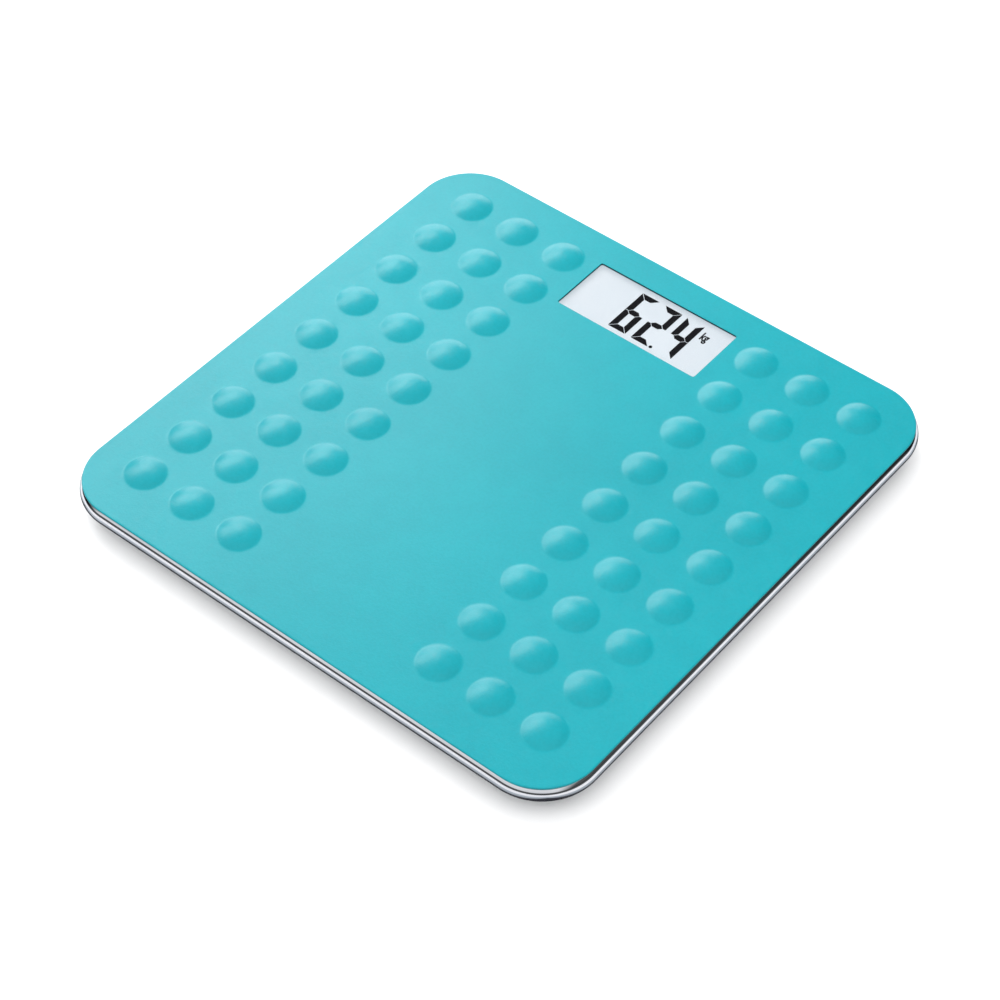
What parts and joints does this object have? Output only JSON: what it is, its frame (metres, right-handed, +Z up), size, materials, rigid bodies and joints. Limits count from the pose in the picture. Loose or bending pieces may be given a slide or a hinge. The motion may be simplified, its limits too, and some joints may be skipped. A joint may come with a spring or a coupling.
{
  "type": "digital personal scale",
  "caption": "Flat square digital bathroom scale with a dome-patterned silicone top, chromed rim, display window and load-cell feet.",
  "frame": {"origin": "on the floor, under the middle of the scale", "axes": "+Z up; +Y away from the user, towards the display; +X to the user's right"},
  "size_m": [0.3, 0.3, 0.021],
  "materials": {
    "silicone": "matt turquoise silicone",
    "chrome": "bright polished chrome",
    "pressed_steel": "zinc-plated sheet",
    "screw_steel": "zinc-plated",
    "clear_window": "clear, smooth",
    "lcd_glass": "pale, with dark segments",
    "white_plastic": "moulded",
    "grey_plastic": "moulded, fine texture",
    "foot_plastic": "moulded",
    "foot_rubber": "matt, grooved",
    "contact_rubber": "layered elastomer",
    "circuit_board": "green solder mask",
    "black_resin": "moulded resin",
    "cell_steel": "nickel-plated",
    "contact_metal": "nickel-plated spring strip",
    "black_plastic": "moulded",
    "load_cell_steel": "nickel-plated plate",
    "gauge_film": "film",
    "lead_insulation": "PVC sleeve"
  },
  "bodies": {
    "scale": {"battery_contact_negative": "contact_metal", "battery_contact_positive": "contact_metal", "board_screw_left": "screw_steel", "board_screw_right": "screw_steel", "bottom_cover": "grey_plastic", "circuit_board": "circuit_board", "coin_cell": "cell_steel", "connector_strip": "contact_rubber", "controller_chip": "black_resin", "cover_screw_1": "screw_steel", "cover_screw_2": "screw_steel", "cover_screw_3": "screw_steel", "cover_screw_4": "screw_steel", "cover_screw_5": "screw_steel", "cover_screw_6": "screw_steel", "display_lens": "clear_window", "lcd_holder": "white_plastic", "lcd_panel": "lcd_glass", "load_cell_front_left": "load_cell_steel", "load_cell_front_right": "load_cell_steel", "load_cell_lead_front_left": "lead_insulation", "load_cell_lead_front_right": "lead_insulation", "load_cell_lead_rear_left": "lead_insulation", "load_cell_lead_rear_right": "lead_insulation", "load_cell_rear_left": "load_cell_steel", "load_cell_rear_right": "load_cell_steel", "load_cell_seat_front_left": "black_plastic", "load_cell_seat_front_right": "black_plastic", "load_cell_seat_rear_left": "black_plastic", "load_cell_seat_rear_right": "black_plastic", "silicone_mat": "silicone", "stiffener_front": "pressed_steel", "stiffener_left": "pressed_steel", "stiffener_middle": "pressed_steel", "stiffener_right": "pressed_steel", "strain_gauge_front_left": "gauge_film", "strain_gauge_front_right": "gauge_film", "strain_gauge_rear_left": "gauge_film", "strain_gauge_rear_right": "gauge_film", "top_cover": "chrome", "unit_switch": "black_resin"},
    "battery_door": {"battery_door": "grey_plastic"},
    "unit_button": {"unit_button": "grey_plastic"},
    "foot_front_left": {"foot_cup_front_left": "foot_plastic", "foot_pad_front_left": "foot_rubber"},
    "foot_front_right": {"foot_cup_front_right": "foot_plastic", "foot_pad_front_right": "foot_rubber"},
    "foot_rear_left": {"foot_cup_rear_left": "foot_plastic", "foot_pad_rear_left": "foot_rubber"},
    "foot_rear_right": {"foot_cup_rear_right": "foot_plastic", "foot_pad_rear_right": "foot_rubber"}
  },
  "joints": [
    {"name": "battery_door_hinge", "type": "hinge", "parent": "scale", "child": "battery_door", "pos_m": [-0.018, 0.0978, 0.0045], "axis": [-1, 0, 0], "range_deg": [0, 80]},
    {"name": "unit_button_press", "type": "slide", "parent": "scale", "child": "unit_button", "axis": [0, 0, 1], "range_m": [0, 0.0008], "stiffness_N_per_m": 150, "springref_m": -0.001},
    {"name": "foot_front_left_press", "type": "slide", "parent": "scale", "child": "foot_front_left", "axis": [0, 0, 1], "range_m": [0, 0.0005], "stiffness_N_per_m": 4000, "springref_m": -0.002},
    {"name": "foot_front_right_press", "type": "slide", "parent": "scale", "child": "foot_front_right", "axis": [0, 0, 1], "range_m": [0, 0.0005], "stiffness_N_per_m": 4000, "springref_m": -0.002},
    {"name": "foot_rear_left_press", "type": "slide", "parent": "scale", "child": "foot_rear_left", "axis": [0, 0, 1], "range_m": [0, 0.0005], "stiffness_N_per_m": 4000, "springref_m": -0.002},
    {"name": "foot_rear_right_press", "type": "slide", "parent": "scale", "child": "foot_rear_right", "axis": [0, 0, 1], "range_m": [0, 0.0005], "stiffness_N_per_m": 4000, "springref_m": -0.002}
  ]
}
